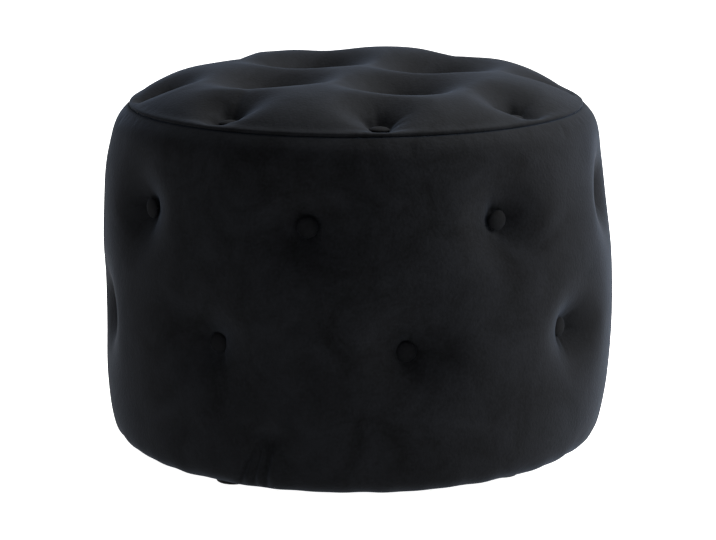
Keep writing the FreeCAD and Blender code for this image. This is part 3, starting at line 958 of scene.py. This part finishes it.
puckers = STAPLE_PUCKER * slack * np.cos(STAPLES * turn_of(flat)) * near_edge
sheet_height = np.full(len(flat), (DUST_LOW + DUST_HIGH) / 2) - (SAG * slack + puckers)
dust_piece = mesh_piece("dust_cover_cloth", np.column_stack([flat, sheet_height]), sheet_faces)
thicken(dust_piece, DUST_THICKNESS, 0)

# %% [markdown]
# ## Effects that several materials share
# Each effect is a node group: it starts from the place on the piece, and colours, a roughness
# and a height come out. A few helpers keep each group to a few lines.

# %% Node group helpers
COLOUR, NUMBER, VECTOR = "NodeSocketColor", "NodeSocketFloat", "NodeSocketVector"
BLACK = (0, 0, 0, 1)


def add(tree, kind, links=(), **settings):
    """A node with its settings, and what goes into its inputs: (name or number, source)."""
    node = tree.nodes.new(kind)
    for label, value in settings.items():
        setattr(node, label, value)
    for target, source in links:
        if isinstance(source, bpy.types.NodeSocket):
            tree.links.new(source, node.inputs[target])
        else:
            node.inputs[target].default_value = source
    return node


def new_group(name, inputs, outputs):
    """A node group with these sockets: the group, what goes in, its end, and the place."""
    group = bpy.data.node_groups.new(name, "ShaderNodeTree")
    for label, kind, value in inputs:
        socket = group.interface.new_socket(name=label, in_out="INPUT", socket_type=kind)
        socket.default_value = value
    for label, kind in outputs:
        group.interface.new_socket(name=label, in_out="OUTPUT", socket_type=kind)
    given = group.nodes.new("NodeGroupInput").outputs
    place = add(group, "ShaderNodeTexCoord").outputs["Object"]
    return group, given, group.nodes.new("NodeGroupOutput"), place


def put_out(group, end, **results):
    """Join each result to the group's output of that name."""
    for label, source in results.items():
        group.links.new(source, end.inputs[label])
    print("group:", group.name)


# %% [markdown]
# Most groups mix two colours by a noise. These helpers give the noise, plain sums, a change
# of range and the mix.

# %% Pattern helpers


def noise(tree, place, scale, **numbers):
    links = [("Vector", place), ("Scale", scale)] + list(numbers.items())
    return add(tree, "ShaderNodeTexNoise", links).outputs["Fac"]


def sums(tree, operation, *values):
    return add(tree, "ShaderNodeMath", enumerate(values), operation=operation).outputs[0]


def remap(tree, source, low, high, to_low=0.0, to_high=1.0):
    links = [("Value", source), ("From Min", low), ("From Max", high)]
    links += [("To Min", to_low), ("To Max", to_high)]
    return add(tree, "ShaderNodeMapRange", links).outputs["Result"]


def blend_colours(tree, share, first, second):
    links = [(0, share), (6, first), (7, second)]
    return add(tree, "ShaderNodeMix", links, data_type="RGBA").outputs[2]


# %% [markdown]
# **Brushed nap.** A pile that hands have stroked lies a little differently in each patch, so
# patches a few centimetres wide are slightly lighter or darker, and each patch is mottled
# again by clumps of fibres a few millimetres wide.

# %% Nap group
nap, given, end, place = new_group(
    "brushed nap",
    [("Dark", COLOUR, BLACK), ("Light", COLOUR, WHITE)]
    + [("Patches", NUMBER, 20.0), ("Fibres", NUMBER, 400.0)],
    [("Color", COLOUR), ("Height", NUMBER)],
)
patches = noise(nap, place, given["Patches"], Detail=5.0, Roughness=0.65, Distortion=0.8)
fibres = noise(nap, place, given["Fibres"], Detail=3.0)
both = sums(nap, "ADD", patches, sums(nap, "MULTIPLY", fibres, 0.5))
share = remap(nap, both, 0.56, 0.94)
tone = blend_colours(nap, share, given["Dark"], given["Light"])
put_out(nap, end, Color=tone, Height=both)

# %% [markdown]
# **Wood grain.** Noise stretched along the grain, cut into bands, gives the growth lines. The
# stretch is an input, because the boards' grain runs across the pouf and the posts' grain
# runs up.

# %% Grain group
grain, given, end, place = new_group(
    "wood grain",
    [("Late", COLOUR, BLACK), ("Early", COLOUR, WHITE), ("Stretch", VECTOR, (1, 1, 1))],
    [("Color", COLOUR), ("Roughness", NUMBER), ("Height", NUMBER)],
)
into = [(0, place), (1, given["Stretch"])]
stretched = add(grain, "ShaderNodeVectorMath", into, operation="MULTIPLY").outputs[0]
rings = noise(grain, stretched, 1.0, Detail=6.0, Distortion=1.2)
bands = sums(grain, "FRACT", sums(grain, "MULTIPLY", rings, 9.0))
share = remap(grain, bands, 0.0, 1.0)
tone = blend_colours(grain, share, given["Early"], given["Late"])
rough = remap(grain, share, 0.0, 1.0, 0.55, 0.72)
put_out(grain, end, Color=tone, Roughness=rough, Height=share)

# %% [markdown]
# **Woven threads.** Two sets of bands that cross give a cloth's threads and the gaps between
# them. The dust cover and the twine both use it, and the twine's bands are finer.

# %% Weave group
weave, given, end, place = new_group(
    "woven threads",
    [("Gap", COLOUR, BLACK), ("Thread", COLOUR, WHITE), ("Threads", NUMBER, 300.0)],
    [("Color", COLOUR), ("Height", NUMBER)],
)
into = [("Vector", place), ("Scale", given["Threads"]), ("Distortion", 0.6)]
bands = [
    add(weave, "ShaderNodeTexWave", into, bands_direction=direction).outputs["Fac"]
    for direction in ("X", "Y")
]
cross = sums(weave, "MAXIMUM", *bands)
tone = blend_colours(weave, cross, given["Gap"], given["Thread"])
put_out(weave, end, Color=tone, Height=cross)

# %% [markdown]
# **Specks.** Pressed board, foam, steel and moulded plastic all have an even colour broken by
# small specks, which are also a little rougher. Only the size and the colours differ.

# %% Speck group
specks, given, end, place = new_group(
    "fine specks",
    [("Base", COLOUR, WHITE), ("Speck", COLOUR, BLACK), ("Size", NUMBER, 300.0)]
    + [("Smooth", NUMBER, 0.4), ("Rough", NUMBER, 0.6)],
    [("Color", COLOUR), ("Roughness", NUMBER), ("Height", NUMBER)],
)
dots = noise(specks, place, given["Size"], Detail=4.0)
share = remap(specks, dots, 0.42, 0.66)
tone = blend_colours(specks, share, given["Base"], given["Speck"])
into = [("Value", share), ("To Min", given["Smooth"]), ("To Max", given["Rough"])]
rough = add(specks, "ShaderNodeMapRange", into).outputs["Result"]
put_out(specks, end, Color=tone, Roughness=rough, Height=dots)

# %% [markdown]
# ## Materials
# One function places a group in a material, sets the group's own values and the shader's
# plain numbers, and joins the outputs that the group has. The height becomes a shallow bump.

# %% Material helper
BUMP_STRENGTH = 0.6


def surface_of(name, effect, effect_values, numbers, relief):
    material = bpy.data.materials.new(name)
    material.use_nodes = True
    tree = material.node_tree
    shader = tree.nodes["Principled BSDF"]
    group = add(tree, "ShaderNodeGroup", effect_values.items(), node_tree=effect)
    for label, value in numbers.items():
        shader.inputs[label].default_value = value
    tree.links.new(group.outputs["Color"], shader.inputs["Base Color"])
    if "Roughness" in group.outputs:
        tree.links.new(group.outputs["Roughness"], shader.inputs["Roughness"])
    into = [("Height", group.outputs["Height"]), ("Distance", relief), ("Strength", BUMP_STRENGTH)]
    bump = add(tree, "ShaderNodeBump", into)
    tree.links.new(bump.outputs["Normal"], shader.inputs["Normal"])
    return material


# %% [markdown]
# Velvet is a dense pile of upright fibres. Seen straight on, light disappears between them
# and the cloth is almost black; seen at a glancing angle the fibre tips catch it, so every
# slope that turns away from the viewer gets brighter. The sheen of the shader does exactly
# this. The buttons' nap is pressed flat when they are wrapped, so they get less sheen. Their
# pile colours are darker too, partly for the pressed nap and partly as painted shade of the
# pits that they sit in.

# %% Velvet
VELVET = {
    "Roughness": 0.85,
    "Specular IOR Level": 0.05,
    "Sheen Weight": 0.046,
    "Sheen Roughness": 0.35,
    "Sheen Tint": (0.45, 0.64, 1.0, 1),
}
PRESSED = dict(VELVET)
PRESSED["Sheen Weight"] = 0.014
pile = {"Dark": (0.0008, 0.0009, 0.0011, 1), "Light": (0.0036, 0.0040, 0.0049, 1)}
# The buttons' pile is darker than the cover's: partly pressed nap, partly painted shade of the
# pits the buttons sit in.
pressed_pile_and_painted_shade = {"Dark": (0.0005, 0.0006, 0.0008, 1), "Light": (0.0018, 0.0020, 0.0026, 1)}
pile.update(Patches=16.0, Fibres=320.0)
pressed_pile_and_painted_shade.update(Patches=90.0, Fibres=900.0)
black_velvet = surface_of("black velvet", nap, pile, VELVET, 0.0012)
button_velvet = surface_of("button velvet", nap, pressed_pile_and_painted_shade, PRESSED, 0.0003)
print("velvets:", black_velvet.name, "and", button_velvet.name)

# %% [markdown]
# The other materials are plain workshop ones: furniture foam, birch plywood, pine posts,
# brown hardboard, zinc-plated steel, waxed twine, black backing cloth and black nylon feet.

# %% Kinds of material
WOOD_RELIEF = 0.0002


def grained(name, late, early, stretch):
    values = {"Late": (*late, 1), "Early": (*early, 1), "Stretch": stretch}
    return surface_of(name, grain, values, {}, WOOD_RELIEF)


def speckled(name, base, speck, size, roughness, numbers, relief):
    """An even colour with specks. Its roughness is two values, between specks and on them."""
    values = {"Base": (*base, 1), "Speck": (*speck, 1), "Size": size}
    values.update(Smooth=roughness[0], Rough=roughness[1])
    return surface_of(name, specks, values, numbers, relief)


def woven(name, gap, thread, threads, numbers, relief):
    values = {"Gap": (*gap, 1), "Thread": (*thread, 1), "Threads": threads}
    return surface_of(name, weave, values, numbers, relief)


# %% [markdown]
# The list goes by the names of the record's slots. Each line gives the colours, the size of
# the pattern, the roughness or the shader's own numbers, and the depth of the bump.

# %% Other materials
STEEL_TONES = (0.62, 0.62, 0.63), (0.45, 0.45, 0.47)
NYLON_TONES = (0.0015, 0.0015, 0.0016), (0.003, 0.003, 0.0031)
DULL, DARK_CLOTH = {"Specular IOR Level": 0.05}, {"Roughness": 0.9, "Specular IOR Level": 0.2}
MATERIALS = {
    "velvet": black_velvet,
    "foam": speckled(
        "cushion foam", (0.80, 0.72, 0.50), (0.62, 0.54, 0.34), 700.0, (0.9, 1.0), {}, 0.0006
    ),
    "plywood": grained("birch plywood", (0.50, 0.34, 0.19), (0.74, 0.58, 0.40), (3, 40, 40)),
    "softwood": grained("pine posts", (0.56, 0.37, 0.19), (0.82, 0.66, 0.45), (45, 45, 2.5)),
    "hardboard": speckled(
        "pressed hardboard", (0.30, 0.18, 0.10), (0.20, 0.11, 0.06), 500.0, (0.5, 0.75), {}, 0.0002
    ),
    "steel": speckled(
        "zinc-plated steel", *STEEL_TONES, 900.0, (0.28, 0.45), {"Metallic": 1.0}, 0.00005
    ),
    "twine": woven(
        "waxed twine", (0.55, 0.50, 0.40), (0.85, 0.82, 0.74), 900.0, {"Roughness": 0.6}, 0.0002
    ),
    "dust_cloth": woven(
        "black backing cloth", (0.006,) * 3, (0.022, 0.022, 0.023), 260.0, DARK_CLOTH, 0.0003
    ),
    "foot_plastic": speckled("black nylon", *NYLON_TONES, 1500.0, (0.5, 0.65), DULL, 0.0001),
}
print("materials besides the button velvet:", len(MATERIALS))

# %% [markdown]
# ## Put everything together
# A carried-over piece keeps its shape and gets the material of its slot. A new piece gets its
# material, rides on the one body, and hides the piece of the construction that it stands for.

# %% Dress the carried-over pieces
for part in frame["record"]["subparts"]:
    for slot in frame["nodes"][part["node"]].material_slots:
        slot.material = MATERIALS[part["material_slot"]]


def dress(piece, slot_name, node, material=None):
    """Finish a new piece: its material, its body, and hiding the node that it stands for."""
    piece.data.materials.clear()
    piece.data.materials.append(material or MATERIALS[slot_name])
    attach(piece, BODY)
    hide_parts(node)


# %% [markdown]
# Covers and foams are padded pieces, nearly full because the foam is firm. The dust cover is
# a stretched sheet, cut as a disc. Here each new piece only gets its material and its body,
# and the piece of the construction that it stands for is hidden.

# %% Dress the new pieces
dress(side_piece, "velvet", "side_cover")
dress(top_piece, "velvet", "top_cover")
dress(side_foam, "foam", "side_foam")
dress(seat_foam, "foam", "top_foam")
for name, piece in buttons.items():
    dress(piece, "velvet", name, button_velvet)
dress(dust_piece, "dust_cloth", "dust_cover")
print("new pieces:", 5 + len(buttons))
